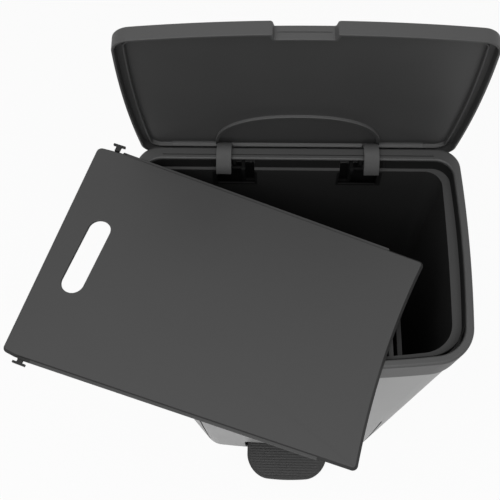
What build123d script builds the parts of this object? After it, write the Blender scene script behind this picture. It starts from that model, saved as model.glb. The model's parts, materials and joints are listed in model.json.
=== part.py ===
"""Pedal bin: tapering body, rim collar, liner, hinged lid on goose-neck arms, pedal linkage
and a loose divider board across the rim. Millimetres, floor at z = 0, front towards -Y."""
import os
from collections import namedtuple
from math import acos, cos, degrees, radians, sin

from build123d import *

Plan = namedtuple("Plan", "half_back half_front back front bow bulge r_back r_front")

# Overall form: plan outlines at the floor and at the rim, straight walls between them
rim_height = 636.0
rim_half_back = 189.0
rim_half_front = 186.4
rim_back = 132.0
rim_front = -128.3
rim_bow = 13.8
rim_bulge = 5.0
rim_corner_back = 26.0
rim_corner_front = 45.0
base_half_back = 149.0
base_half_front = 147.0
base_back = 128.0
base_front = -85.0
base_bow = 8.0
base_bulge = 2.0
base_corner_back = 20.0
base_corner_front = 36.0

# Outer body
body_wall = 2.5
collar_step = 1.5
body_lip_height = 20.0
seam_height = 265.0
seam_half_width = 135.0
seam_width = 1.8
seam_depth = 1.3
mouth_side_room = 4.0
mouth_low = 5.0
mouth_high = 64.0
mouth_corner = 8.0

# Rim collar
collar_skirt = 48.0
collar_wall = 2.5
collar_edge_radius = 3.0
rim_band = 9.0
rim_band_back = 16.0
rim_inner_radius = 2.0
step_depth = 18.5
seat_width = 5.0
seat_thickness = 2.5
band_groove_inset = 10.6
band_groove_half_length = 160.0
band_groove_width = 1.2
band_groove_depth = 0.9

# Liner bucket
liner_wall = 2.2
liner_flange = 2.5
ledge_side = 9.0
ledge_front = 9.0
ledge_back = 4.5
liner_corner_back = 20.0
liner_corner_front = 36.0
liner_floor = 100.0
liner_floor_half_width = 140.0
liner_floor_front = -74.0
liner_floor_back = 94.0
liner_floor_bow = 7.0
liner_bulge = 2.0
guide_rib_x = 101.5
guide_rib_thickness = 5.0
guide_rib_slot = 5.0
guide_rib_reach = 46.0
guide_rib_lip = 14.0
guide_rib_drop = 60.0
guide_rib_step = 4.0

# Hinge: axis under the back band, lid angle in the open pose
hinge_y = 120.6
hinge_drop = 15.9
lid_open_angle = 81.0
hinge_pin_radius = 2.5
arm_inner_edge = 78.0
arm_width = 17.5
arm_inner_radius = 19.0
arm_thickness = 3.5
arm_end_angle = 160.0
web_start_angle = 126.0
knuckle_radius = 4.5
cheek_thickness = 4.0
cheek_half_depth = 4.7
bracket_web = 3.0
pocket_inner_edge = 51.0
pocket_depth = 30.0

# Lid, drawn shut
lid_height = 15.5
lid_wall = 2.5
lid_plate = 5.1
lid_edge_radius = 2.0
lid_inset = 3.0
lid_back_overhang = 2.5
lid_rest_gap = 0.4
notch_width = 58.0
notch_set_back = 8.5
notch_corner = 3.0
notch_groove_width = 1.2
notch_groove_depth = 0.8
rib_inset = 10.0
rib_width = 2.0
rib_height = 5.0
arch_depth = 76.0
arch_half_width = 98.0
arch_fullness = 2.3
arch_thickness = 1.2
arch_bead_width = 3.6
arch_bead_height = 3.2
root_thickness = 5.0
root_radius = 4.0

# Lift linkage at the back
link_radius = 10.0
link_open_angle = 160.0
link_pin_radius = 2.0
ear_centre = 64.0
ear_thickness = 4.0
ear_wall = 3.0
slot_side_room = 0.6
slot_height_room = 1.0
rod_y = 117.5
rod_width = 18.0
rod_thickness = 4.0
crosshead_drop = 34.0
crosshead_height = 14.0
rod_foot_height = 12.0
rod_foot_wall = 3.0
rod_foot_edge_radius = 2.4
guide_wall = 3.0
guide_height = 26.0
guide_lower_height = 150.0
guide_upper_drop = 116.0

# Pedal linkage in the foot
tray_floor = 3.0
tray_rim_height = 14.0
pivot_y = 46.0
pivot_z = 38.0
pivot_radius = 3.0
lever_slope = 7.6
lever_width = 44.0
lever_wall = 3.0
lever_height = 15.0
lever_rear = 75.0
paddle_width = 112.0
paddle_depth = 56.0
paddle_thickness = 5.0
paddle_corner = 24.0
neck_length = 12.0
pad_width = 137.5
pad_depth = 70.0
pad_reach = 13.0
pad_bow = 7.0
pad_thickness = 10.0
pad_front_corner = 36.0
pad_rear_corner = 6.0
pad_edge_radius = 2.0
tread_pitch = 4.5
tread_width = 1.6
tread_depth = 0.8
tread_margin = 6.0
bracket_thickness = 5.0
bracket_half_depth = 16.0
bracket_head_radius = 9.0

# Loose board across the rim
board_length = 394.5
board_end_width = 263.0
board_shoulder_width = 266.6
board_shoulder = 20.0
board_far_width = 239.4
board_end_skew = 12.0
board_far_hollow = 7.5
board_thickness = 4.0
board_corner = 4.0
board_edge_slant = 2.2
board_turn = -19.56
board_handle_x = -274.3
board_handle_y = 0.6
grip_from_end = 41.3
grip_offset = -2.2
grip_length = 94.0
grip_width = 26.0
flange_width = 3.6
flange_thickness = 2.5
flange_start = 24.0
flange_end = 39.0
clip_rear_from_end = 15.6
clip_rear_reach = 7.0
clip_front_from_end = 28.3
clip_front_reach = 5.2
clip_stem = 6.0
clip_bar_length = 15.0
clip_bar_width = 2.4
clip_thickness = 3.0

# Smoothness of the arch's outline
arch_points = 24

# Clearances
pin_clearance = 0.05
running_gap = 0.5
side_gap = 1.0
board_gap = 0.3
lever_gap = 0.6
cut_over = 1.0

# Places that follow from the sizes above
rim_plan = Plan(rim_half_back, rim_half_front, rim_back, rim_front, rim_bow, rim_bulge,
                rim_corner_back, rim_corner_front)
base_plan = Plan(base_half_back, base_half_front, base_back, base_front, base_bow, base_bulge,
                 base_corner_back, base_corner_front)
front_reach = rim_bow - rim_front + cut_over
collar_bottom = rim_height - collar_skirt
ledge_top = rim_height - step_depth
band_underside = rim_height - collar_wall
hinge_z = rim_height - hinge_drop
mouth_half_width = pad_width / 2 + mouth_side_room
step_back = rim_plan.back - rim_band_back
seat_back = ledge_back - liner_wall - running_gap
arm_outer_edge = arm_inner_edge + arm_width
arm_outer_radius = arm_inner_radius + arm_thickness
cheek_inner_edge = arm_inner_edge - side_gap - cheek_thickness
cheek_outer_edge = arm_outer_edge + side_gap + cheek_thickness
lid_underside = lid_rest_gap + lid_height - lid_plate
band_front = rim_back + lid_back_overhang - rib_inset - rib_width
band_half_width = rim_half_back - lid_inset - rib_inset - rim_corner_back
notch_face_y = rim_front - rim_bow + lid_inset + notch_set_back
link_shut_angle = link_open_angle + lid_open_angle
ear_y_low = hinge_y - link_radius
ear_y_high = hinge_y + link_radius * max(cos(radians(link_open_angle)), cos(radians(link_shut_angle)))
link_z = hinge_z + link_radius * sin(radians(link_open_angle))
crosshead_z = hinge_z - crosshead_drop
lever_half_height = lever_height / 2
lever_tip_z = (pivot_z + (rod_y - pivot_y) * sin(radians(lever_slope)) / cos(radians(lever_slope))
               + lever_half_height / cos(radians(lever_slope)))


def mix(low, high, height):
    """Plan outline at a height, straight between the floor outline and the rim outline."""
    share = height / rim_height
    return Plan(*[a + (b - a) * share for a, b in zip(low, high)])


def shrink(plan, inset):
    """Plan outline pulled in by the same inset all round."""
    return Plan(plan.half_back - inset, plan.half_front - inset, plan.back - inset, plan.front + inset,
                plan.bow, plan.bulge, plan.r_back - inset, plan.r_front - inset)


def body_plan(height, inset=0.0):
    """Outline of the bin at a height, pulled in by an inset."""
    return shrink(mix(base_plan, rim_plan, height), inset)


def plan_face(plan):
    """Flat face with a straight back, bowed sides and front, and four round corners."""
    back_left = (-plan.half_back, plan.back)
    back_right = (plan.half_back, plan.back)
    front_left = (-plan.half_front, plan.front)
    front_right = (plan.half_front, plan.front)
    side = (plan.half_back + plan.half_front) / 2 + plan.bulge
    middle = (plan.back + plan.front) / 2
    edges = [
        Line(back_right, back_left),
        ThreePointArc(back_left, (-side, middle), front_left),
        ThreePointArc(front_left, (0, plan.front - plan.bow), front_right),
        ThreePointArc(front_right, (side, middle), back_right),
    ]
    face = make_face(edges)
    face = fillet(face.vertices().sort_by(Axis.Y)[-2:], plan.r_back)
    return fillet(face.vertices().sort_by(Axis.Y)[:2], plan.r_front)


def tapered(low_plan, low_z, high_plan, high_z):
    """Solid between two plan outlines at two heights."""
    low_face = Pos(0, 0, low_z) * plan_face(low_plan)
    high_face = Pos(0, 0, high_z) * plan_face(high_plan)
    return loft([low_face, high_face], ruled=True)


def upright(plan, low_z, high_z):
    """Solid with upright walls on one plan outline."""
    return extrude(Pos(0, 0, low_z) * plan_face(plan), amount=high_z - low_z, dir=(0, 0, 1))


def block(x_range, y_range, z_range):
    """Box between three pairs of limits."""
    size = [high - low for low, high in (x_range, y_range, z_range)]
    middle = [(high + low) / 2 for low, high in (x_range, y_range, z_range)]
    return Pos(*middle) * Box(*size)


def side_solid(face, x_low, x_high):
    """Solid from a face drawn in (y, z), carried along X between two limits."""
    plane = Plane(origin=(x_low, 0, 0), x_dir=(0, 1, 0), z_dir=(1, 0, 0))
    return extrude(plane * face, amount=x_high - x_low, dir=(1, 0, 0))


def cross_pin(y, z, radius, x_low, x_high):
    """Round pin along X."""
    return side_solid(Pos(y, z) * Circle(radius), x_low, x_high)


def mirrored(x_low, x_high, side):
    """Limits along X on the right (side 1) or the left (side -1)."""
    return tuple(sorted((side * x_low, side * x_high)))


def polar(radius, angle):
    """Point about the hinge axis in (y, z), angle from +Y towards +Z."""
    return (hinge_y + radius * cos(radians(angle)), hinge_z + radius * sin(radians(angle)))


def swung_open(shape):
    """Turn a piece that was drawn with the lid shut into the open pose."""
    axis = Axis((0, hinge_y, hinge_z), (1, 0, 0))
    return shape.rotate(axis, -lid_open_angle)


def make_body_shell():
    """Silver tapering body with two front seams, a pedal mouth and a lip inside the collar."""
    outer = tapered(body_plan(0, collar_step), 0, body_plan(collar_bottom, collar_step), collar_bottom)
    inset = collar_step + body_wall
    void = tapered(body_plan(0, inset), 0, body_plan(collar_bottom, inset), collar_bottom)
    lip_top = collar_bottom + body_lip_height
    lip_inset = max(collar_wall + running_gap, collar_step)
    lip_low = collar_bottom - body_lip_height
    lip = tapered(body_plan(lip_low, lip_inset), lip_low, body_plan(lip_top, lip_inset), lip_top)
    lip_bore_inset = lip_inset + body_wall
    lip -= tapered(body_plan(lip_low, lip_bore_inset), lip_low, body_plan(lip_top, lip_bore_inset), lip_top)
    shell = outer - void + lip
    skin = tapered(body_plan(0), 0, body_plan(collar_bottom), collar_bottom)
    inset = collar_step + seam_depth
    skin -= tapered(body_plan(0, inset), 0, body_plan(collar_bottom, inset), collar_bottom)
    front = Plane(origin=(0, 0, 0), x_dir=(1, 0, 0), z_dir=(0, -1, 0))
    seam_face = Rot(0, 0, 90) * SlotOverall(2 * seam_height, seam_width)
    for side in (1, -1):
        seam_place = front * Pos(side * seam_half_width, 0)
        shell -= extrude(seam_place * seam_face, amount=front_reach, dir=(0, -1, 0)) & skin
    mouth_face = Pos(0, (mouth_low + mouth_high) / 2) * RectangleRounded(
        2 * mouth_half_width, mouth_high - mouth_low, mouth_corner)
    shell -= extrude(front * mouth_face, amount=front_reach, dir=(0, -1, 0))
    return shell


def step_plan(inset=0.0):
    """Outline of the step down from the rim band to the ledge."""
    plan = shrink(rim_plan, rim_band)
    plan = plan._replace(back=step_back, r_front=liner_corner_front, r_back=liner_corner_back)
    return shrink(plan, inset)


def step_edges(collar):
    """Edges of the collar's top face round the step, not the outer ones."""
    top_edges = collar.edges().group_by(Axis.Z)[-1]
    return top_edges.filter_by(lambda e: abs(e.center().Y) < abs(rim_front) - rim_band / 2
                               and abs(e.center().X) < rim_half_front - rim_band / 2)


def make_top_collar():
    """Rim: tapering skirt, flat band, step wall, liner seat and two hinge pockets."""
    collar = tapered(body_plan(collar_bottom), collar_bottom, body_plan(rim_height), rim_height)
    collar = fillet(collar.edges().group_by(Axis.Z)[-1], collar_edge_radius)
    collar -= tapered(body_plan(collar_bottom, collar_wall), collar_bottom,
                      body_plan(band_underside, collar_wall), band_underside)
    seat_low = ledge_top - liner_flange - seat_thickness
    collar += upright(step_plan(-collar_wall), seat_low, rim_height - collar_edge_radius / 2)
    collar -= upright(step_plan(), ledge_top - liner_flange, rim_height + cut_over)
    collar = fillet(step_edges(collar), rim_inner_radius)
    seat_plan = step_plan(seat_width)._replace(back=step_back - seat_back)
    collar -= upright(seat_plan, seat_low - cut_over, rim_height + cut_over)
    for side in (1, -1):
        collar -= block(mirrored(pocket_inner_edge, cheek_outer_edge + running_gap, side),
                        (step_back - seat_width - cut_over, step_back + collar_wall + cut_over),
                        (seat_low - cut_over, band_underside))
    groove_y = rim_back - band_groove_inset
    collar -= block((-band_groove_half_length, band_groove_half_length),
                    (groove_y - band_groove_width / 2, groove_y + band_groove_width / 2),
                    (rim_height - band_groove_depth, rim_height + cut_over))
    return collar


def liner_mouth(inset=0.0):
    """Inside outline of the liner at the ledge."""
    step = step_plan()
    plan = Plan(step.half_back - ledge_side, step.half_front - ledge_side, step.back - ledge_back,
                step.front + ledge_front, step.bow, liner_bulge, liner_corner_back, liner_corner_front)
    return shrink(plan, inset)


def liner_bottom(inset=0.0):
    """Inside outline of the liner at its floor."""
    plan = Plan(liner_floor_half_width, liner_floor_half_width, liner_floor_back, liner_floor_front,
                liner_floor_bow, liner_bulge, liner_corner_back, liner_corner_front)
    return shrink(plan, inset)


def guide_rib(middle, top):
    """Upright rib off the liner's front wall, cut away below its nose."""
    wall = liner_mouth().front - liner_mouth().bow
    nose = liner_mouth().front + guide_rib_reach
    profile = make_face(Polyline((wall, top), (nose, top), (nose, top - guide_rib_lip),
                                 (wall, top - guide_rib_lip - guide_rib_drop), close=True))
    return side_solid(profile, middle - guide_rib_thickness / 2, middle + guide_rib_thickness / 2)


def make_inner_liner():
    """Black bucket hung by its flange, with guide ribs and notches for the hinge arms."""
    outer = tapered(liner_bottom(-liner_wall), liner_floor, liner_mouth(-liner_wall), ledge_top)
    outer += upright(step_plan(running_gap), ledge_top - liner_flange, ledge_top)
    void = tapered(liner_bottom(), liner_floor + liner_wall, liner_mouth(), ledge_top)
    liner = outer - void
    ribs = guide_rib(guide_rib_x, ledge_top)
    ribs += guide_rib(guide_rib_x + guide_rib_thickness + guide_rib_slot, ledge_top - guide_rib_step)
    liner += ribs & outer
    for side in (1, -1):
        liner -= block(mirrored(pocket_inner_edge, arm_outer_edge + side_gap, side),
                       (step_back - ledge_back - pocket_depth, step_back + cut_over),
                       (ledge_top - pocket_depth, ledge_top + cut_over))
    return liner


def make_base_tray():
    """Floor of the bin with an upstand that fits inside the body."""
    inset = collar_step + body_wall + running_gap
    tray = tapered(body_plan(0, inset), 0, body_plan(tray_rim_height, inset), tray_rim_height)
    inner = inset + tray_floor
    tray -= tapered(body_plan(tray_floor, inner), tray_floor,
                    body_plan(tray_rim_height, inner), tray_rim_height)
    gap = block((-mouth_half_width, mouth_half_width), (base_plan.front * 2, base_plan.front / 2),
                (tray_floor, tray_rim_height + cut_over))
    return tray - gap


def make_hinge_bracket(side):
    """Two cheeks under the collar's back band, bored for the hinge pin."""
    top = band_underside
    tab = Pos(hinge_y, (hinge_z + top) / 2) * Rectangle(2 * cheek_half_depth, top - hinge_z)
    tab += Pos(hinge_y, hinge_z) * Circle(cheek_half_depth)
    tab -= Pos(hinge_y, hinge_z) * Circle(hinge_pin_radius + pin_clearance)
    inner = arm_inner_edge - side_gap
    outer = arm_outer_edge + side_gap
    bracket = side_solid(tab, *mirrored(cheek_inner_edge, inner, side))
    bracket += side_solid(tab, *mirrored(outer, cheek_outer_edge, side))
    bracket += block(mirrored(inner, outer, side), (hinge_y - cheek_half_depth, hinge_y + cheek_half_depth),
                     (top - bracket_web, top))
    return bracket


def make_hinge_pin(side):
    """Pin through one arm's knuckle and the two cheeks beside it."""
    limits = mirrored(cheek_inner_edge, cheek_outer_edge, side)
    return cross_pin(hinge_y, hinge_z, hinge_pin_radius, *limits)


def make_link_pin(side):
    """Pin off the arm's web, in the slot of the rod's ear."""
    y, z = polar(link_radius, link_open_angle)
    inner = ear_centre - ear_thickness / 2 - side_gap
    return cross_pin(y, z, link_pin_radius, *mirrored(inner, arm_outer_edge, side))


def lid_plan(inset=0.0):
    """Outline of the lid, a little inside the rim and overhanging it at the back."""
    plan = shrink(rim_plan, lid_inset)._replace(back=rim_back + lid_back_overhang)
    return shrink(plan, inset)


def lid_face(inset):
    """Lid outline with the finger notch in the middle of the front edge."""
    notch_y = notch_face_y + inset
    width = notch_width + 2 * inset
    notch = Pos(0, notch_y - notch_set_back) * Rectangle(width, 2 * notch_set_back)
    face = plan_face(lid_plan(inset)) - notch
    inner_corners = face.vertices().filter_by(lambda v: abs(abs(v.X) - width / 2) < cut_over)
    return fillet(inner_corners, notch_corner)


def make_lid_shell():
    """Shallow lid: plate, skirt, finger notch and an inner rib, drawn shut and swung open."""
    bottom = rim_height + lid_rest_gap
    outer = extrude(Pos(0, 0, bottom) * lid_face(0), amount=lid_height, dir=(0, 0, 1))
    outer = fillet(outer.edges().group_by(Axis.Z)[-1], lid_edge_radius)
    inner = extrude(Pos(0, 0, bottom) * lid_face(lid_wall), amount=lid_height - lid_plate, dir=(0, 0, 1))
    lid = outer - inner
    groove_half = notch_width / 2 - notch_corner
    groove_z = bottom + lid_height / 2
    lid -= block((-groove_half, groove_half), (notch_face_y - cut_over, notch_face_y + notch_groove_depth),
                 (groove_z - notch_groove_width / 2, groove_z + notch_groove_width / 2))
    under = rim_height + lid_underside
    rib = upright(lid_plan(rib_inset), under - rib_height, under)
    rib -= upright(lid_plan(rib_inset + rib_width), under - rib_height - cut_over, under + cut_over)
    rib -= block((-band_half_width, band_half_width), (0, rim_back), (bottom - cut_over, under + cut_over))
    return swung_open(lid + rib)


def arm_profile():
    """Goose neck about the hinge axis in (y, z), drawn shut: root, arc, web and knuckle."""
    turn = lid_open_angle
    strap_low = rim_height + lid_rest_gap
    strap_top = rim_height + lid_underside
    strap = Pos(band_front + root_thickness / 2, (strap_low + strap_top) / 2) * Rectangle(
        root_thickness, strap_top - strap_low)
    strap -= Pos(hinge_y, hinge_z) * Circle(arm_inner_radius + arm_thickness / 2)
    start = degrees(acos((band_front + root_thickness - hinge_y) / arm_outer_radius))
    end = arm_end_angle + turn
    ring = Pos(hinge_y, hinge_z) * (Circle(arm_outer_radius) - Circle(arm_inner_radius))
    ring &= wedge(start, end)
    web = Pos(hinge_y, hinge_z) * Circle(arm_inner_radius + arm_thickness / 2)
    web &= wedge(web_start_angle + turn, end)
    bore = Pos(hinge_y, hinge_z) * Circle(hinge_pin_radius)
    knuckle = Pos(hinge_y, hinge_z) * Circle(knuckle_radius)
    return strap + ring + web + knuckle - bore


def wedge(start, end):
    """Pie-shaped face about the hinge axis between two angles."""
    reach = 2 * arm_outer_radius
    middle = (start + end) / 2
    rim_arc = ThreePointArc(polar(reach, start), polar(reach, middle), polar(reach, end))
    axis_point = (hinge_y, hinge_z)
    return make_face([Line(axis_point, polar(reach, start)), rim_arc, Line(polar(reach, end), axis_point)])


def arm_root(side):
    """Flare where one arm leaves the band, hollowed on both sides, drawn shut."""
    top = rim_height + lid_underside - rib_height
    middle = side * (arm_inner_edge + arm_width / 2)
    face = Pos(middle, top - root_radius / 2) * Rectangle(arm_width + 2 * root_radius, root_radius)
    for edge in (-1, 1):
        face -= Pos(middle + edge * (arm_width / 2 + root_radius), top - root_radius) * Circle(root_radius)
    wall = Plane(origin=(0, band_front + rib_width, 0), x_dir=(1, 0, 0), z_dir=(0, -1, 0))
    flare = extrude(wall * face, amount=rib_width, dir=(0, -1, 0))
    room = arm_inner_radius + running_gap
    return flare - cross_pin(hinge_y, hinge_z, room, -rim_half_back, rim_half_back)


def arch_face(inset):
    """Arch on the lid's inside: half of a full oval, pulled in by an inset."""
    half_width = arch_half_width - inset
    depth = arch_depth - inset
    power = 2 / arch_fullness
    points = []
    for step in range(arch_points + 1):
        angle = radians(180 * step / arch_points)
        along = cos(angle)
        x = half_width * abs(along) ** power * (1 if along > 0 else -1)
        points.append((x, band_front - depth * sin(angle) ** power))
    return make_face([Spline(*points), Line(points[-1], points[0])])


def make_lid_hinge_plate():
    """Arched plate with a bead, band and two arms on the lid's inside, drawn shut and swung open."""
    under = rim_height + lid_underside
    bead_low = under - arch_bead_height
    plate = extrude(Pos(0, 0, under - arch_thickness) * arch_face(0), amount=arch_thickness, dir=(0, 0, 1))
    bead = extrude(Pos(0, 0, bead_low) * arch_face(0), amount=arch_bead_height, dir=(0, 0, 1))
    inside = Pos(0, 0, bead_low) * arch_face(arch_bead_width)
    bead -= extrude(inside, amount=arch_bead_height, dir=(0, 0, 1))
    plate += bead
    plate += block((-band_half_width, band_half_width), (band_front, band_front + rib_width),
                   (under - rib_height, under))
    for side in (1, -1):
        plate += side_solid(arm_profile(), *mirrored(arm_inner_edge, arm_outer_edge, side))
        plate += arm_root(side)
    plate = swung_open(plate)
    y, z = polar(link_radius, link_open_angle)
    for side in (1, -1):
        plate -= cross_pin(y, z, link_pin_radius, *mirrored(arm_inner_edge, arm_outer_edge, side))
    return plate


def make_push_rod():
    """Flat rod up the back with a cross head and two slotted ears round the link pins."""
    travel_room = link_pin_radius + slot_height_room
    slot_low = ear_y_low - link_pin_radius - slot_side_room
    slot_high = ear_y_high + link_pin_radius + slot_side_room
    head_low = crosshead_z - crosshead_height
    head_height = 2 * (travel_room + ear_wall)
    ear = Pos((slot_low + slot_high) / 2, link_z) * RectangleRounded(
        slot_high - slot_low + 2 * ear_wall, head_height, ear_wall)
    ear += Pos(rod_y, (crosshead_z + link_z) / 2) * Rectangle(rod_thickness, link_z - crosshead_z)
    ear -= Pos((slot_low + slot_high) / 2, link_z) * RectangleRounded(
        slot_high - slot_low, 2 * travel_room, travel_room - slot_side_room / 2)
    half_span = ear_centre + ear_thickness / 2
    y_range = (rod_y - rod_thickness / 2, rod_y + rod_thickness / 2)
    rod = block((-half_span, half_span), y_range, (head_low, crosshead_z))
    rod_low = lever_tip_z + lever_gap + rod_foot_wall
    rod += block((-rod_width / 2, rod_width / 2), y_range, (rod_low, head_low))
    for side in (1, -1):
        rod += side_solid(ear, *mirrored(ear_centre - ear_thickness / 2, half_span, side))
    return rod


def make_rod_foot():
    """Shoe on the rod's lower end, which the lever lifts."""
    low = lever_tip_z + lever_gap
    half_width = rod_width / 2 + rod_foot_wall
    half_depth = rod_thickness / 2 + rod_foot_wall
    shoe = block((-half_width, half_width), (rod_y - half_depth, rod_y + half_depth),
                 (low, low + rod_foot_height))
    shoe = fillet(shoe.edges().filter_by(Axis.X).group_by(Axis.Z)[0], rod_foot_edge_radius)
    pocket = block((-rod_width / 2, rod_width / 2), (rod_y - rod_thickness / 2, rod_y + rod_thickness / 2),
                   (low + rod_foot_wall, low + rod_foot_height + cut_over))
    return shoe - pocket


def make_rod_guide(low):
    """Saddle on the body's back wall that the rod slides in."""
    high = low + guide_height
    wall_inset = collar_step + body_wall
    back = body_plan(low, wall_inset).back
    half_room = rod_width / 2 + running_gap
    half_depth = rod_thickness / 2 + running_gap
    saddle = block((-half_room - guide_wall, half_room + guide_wall),
                   (rod_y - half_depth - guide_wall, back), (low, high))
    saddle -= block((-half_room, half_room), (rod_y - half_depth, rod_y + half_depth),
                    (low - cut_over, high + cut_over))
    return saddle


def make_pedal_bracket(side):
    """Cheek on the tray that holds one end of the pedal's pin."""
    cheek = make_face(Polyline(
        (pivot_y - bracket_half_depth, tray_floor), (pivot_y + bracket_half_depth, tray_floor),
        (pivot_y + bracket_head_radius, pivot_z), (pivot_y - bracket_head_radius, pivot_z), close=True))
    cheek += Pos(pivot_y, pivot_z) * Circle(bracket_head_radius)
    cheek -= Pos(pivot_y, pivot_z) * Circle(pivot_radius)
    inner = lever_width / 2 + side_gap
    return side_solid(cheek, *mirrored(inner, inner + bracket_thickness, side))


def make_pedal_pin():
    """Pin across both cheeks."""
    half = lever_width / 2 + side_gap + bracket_thickness
    return cross_pin(pivot_y, pivot_z, pivot_radius, -half, half)


def tilted(shape):
    """Turn a piece that was drawn with the lever level into its trodden pose."""
    return shape.rotate(Axis((0, pivot_y, pivot_z), (1, 0, 0)), lever_slope)


def pad_plan(width, depth, front_corner):
    """Tread outline with a straight back, a bowed front and round front corners."""
    half = width / 2
    front = pad_rear_y - depth
    edges = [
        Line((half, pad_rear_y), (-half, pad_rear_y)),
        Line((-half, pad_rear_y), (-half, front + pad_bow)),
        ThreePointArc((-half, front + pad_bow), (0, front), (half, front + pad_bow)),
        Line((half, front + pad_bow), (half, pad_rear_y)),
    ]
    face = make_face(edges)
    face = fillet(face.vertices().sort_by(Axis.Y)[:2], front_corner)
    return fillet(face.vertices().sort_by(Axis.Y)[-2:], pad_rear_corner)


def make_pedal_lever():
    """Channel lever with a paddle under the tread, bored for its pin."""
    rear = pivot_y + lever_rear
    front = pad_rear_y + side_gap
    low = pivot_z - lever_half_height
    high = pivot_z + lever_half_height
    beam = block((-lever_width / 2, lever_width / 2), (front, rear), (low, high))
    beam -= block((-lever_width / 2 + lever_wall, lever_width / 2 - lever_wall),
                  (front + lever_wall, rear - lever_wall), (low - cut_over, high - lever_wall))
    paddle_face = pad_plan(paddle_width, paddle_depth, paddle_corner)
    paddle = extrude(Pos(0, 0, paddle_low) * paddle_face, amount=paddle_thickness, dir=(0, 0, 1))
    neck = block((-lever_width / 2, lever_width / 2), (pad_rear_y - neck_length, pad_rear_y + neck_length),
                 (low, low + paddle_thickness))
    bore = cross_pin(pivot_y, pivot_z, pivot_radius + pin_clearance, -lever_width, lever_width)
    return tilted(beam + paddle + neck - bore)


def make_pedal_pad():
    """Tread with round front corners and fine cross ribs."""
    face = pad_plan(pad_width, pad_depth, pad_front_corner)
    pad = extrude(Pos(0, 0, paddle_low + paddle_thickness) * face, amount=pad_thickness, dir=(0, 0, 1))
    top = paddle_low + paddle_thickness + pad_thickness
    pad = fillet(pad.edges().group_by(Axis.Z)[-1], pad_edge_radius)
    field = extrude(Pos(0, 0, top - tread_depth) * offset(face, -tread_margin),
                    amount=tread_depth + cut_over, dir=(0, 0, 1))
    first = pad_rear_y - tread_margin - tread_pitch / 2
    for index in range(int((pad_depth - 2 * tread_margin) / tread_pitch)):
        y = first - index * tread_pitch
        groove = block((-pad_width, pad_width), (y - tread_width / 2, y + tread_width / 2),
                       (top - tread_depth - cut_over, top + cut_over))
        pad -= groove & field
    return tilted(pad)


def placed_board(shape):
    """Lay a piece drawn along +X from the handle end in its place across the rim."""
    return Pos(board_handle_x, board_handle_y, rim_height + board_gap) * Rot(0, 0, board_turn) * shape


def board_half_width(along):
    """Half of the board's width at a distance from the handle end, past the shoulder."""
    past = (along - board_shoulder) / (board_length - board_shoulder)
    return (board_shoulder_width + (board_far_width - board_shoulder_width) * past) / 2


def board_face(spread):
    """Outline of the board, grown all round by a spread: slanted handle end, hollow far end."""
    near = board_end_width / 2 + spread
    shoulder = board_half_width(board_shoulder) + spread
    far = board_half_width(board_length) + spread
    end = board_length + spread
    rear_end = -board_end_skew / 2 - spread
    front_end = board_end_skew / 2 - spread
    rear_side = Polyline((rear_end, near), (board_shoulder, shoulder), (end, far))
    far_side = ThreePointArc((end, far), (end - board_far_hollow, 0), (end, -far))
    front_side = Polyline((end, -far), (board_shoulder, -shoulder), (front_end, -near), (rear_end, near))
    face = make_face(rear_side + far_side + front_side)
    return fillet(face.vertices(), board_corner + spread)


def flange_face(side):
    """Strip along one long edge of the board, from near the handle to short of the far end."""
    ends = (flange_start, board_length - flange_end)
    outer = [(along, side * (board_half_width(along) + flange_width)) for along in ends]
    inner = [(along, side * (board_half_width(along) - flange_width)) for along in reversed(ends)]
    return make_face(Polyline(*outer, *inner, close=True))


def make_divider_panel():
    """Tapering board with slanted edges, a hand slot and a lower flange along both long edges."""
    board = loft([board_face(board_edge_slant), Pos(0, 0, board_thickness) * board_face(0)], ruled=True)
    for side in (1, -1):
        board += extrude(flange_face(side), amount=flange_thickness, dir=(0, 0, 1))
    grip = Pos(grip_from_end, grip_offset) * Rot(0, 0, 90) * SlotOverall(grip_length, grip_width)
    board -= extrude(grip, amount=board_thickness, dir=(0, 0, 1))
    return placed_board(board)


def make_divider_clip(side, from_end, reach):
    """Small T clip that stands out of one long edge near the handle end."""
    edge = board_half_width(from_end) + flange_width
    stem = Pos(from_end, side * edge) * Rectangle(clip_stem, 2 * reach)
    bar_middle = edge + reach - clip_bar_width / 2
    bar = Pos(from_end, side * bar_middle) * Rectangle(clip_bar_length, clip_bar_width)
    clip_face = stem + bar - board_face(board_edge_slant) - flange_face(side)
    low = (board_thickness - clip_thickness) / 2
    return placed_board(extrude(Pos(0, 0, low) * clip_face, amount=clip_thickness, dir=(0, 0, 1)))


# The tread's back edge reaches into the mouth in the body's front
pad_rear_y = base_plan.front - base_plan.bow + pad_reach
paddle_low = pivot_z - lever_half_height

sides = {"right": 1, "left": -1}
nodes = {
    "body_shell": make_body_shell(),
    "top_collar": make_top_collar(),
    "inner_liner": make_inner_liner(),
    "base_tray": make_base_tray(),
    "rod_guide_lower": make_rod_guide(guide_lower_height),
    "rod_guide_upper": make_rod_guide(rim_height - guide_upper_drop),
    "pedal_pivot_pin": make_pedal_pin(),
    "lid_shell": make_lid_shell(),
    "lid_hinge_plate": make_lid_hinge_plate(),
    "push_rod": make_push_rod(),
    "rod_foot": make_rod_foot(),
    "pedal_lever": make_pedal_lever(),
    "pedal_pad": make_pedal_pad(),
    "divider_panel": make_divider_panel(),
    "divider_clip_rear": make_divider_clip(1, clip_rear_from_end, clip_rear_reach),
    "divider_clip_front": make_divider_clip(-1, clip_front_from_end, clip_front_reach),
}
for name, side in sides.items():
    nodes[f"hinge_bracket_{name}"] = make_hinge_bracket(side)
    nodes[f"hinge_pin_{name}"] = make_hinge_pin(side)
    nodes[f"link_pin_{name}"] = make_link_pin(side)
    nodes[f"pedal_bracket_{name}"] = make_pedal_bracket(side)

os.makedirs("parts", exist_ok=True)
for name, shape in nodes.items():
    export_step(shape, f"parts/{name}.step")
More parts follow.
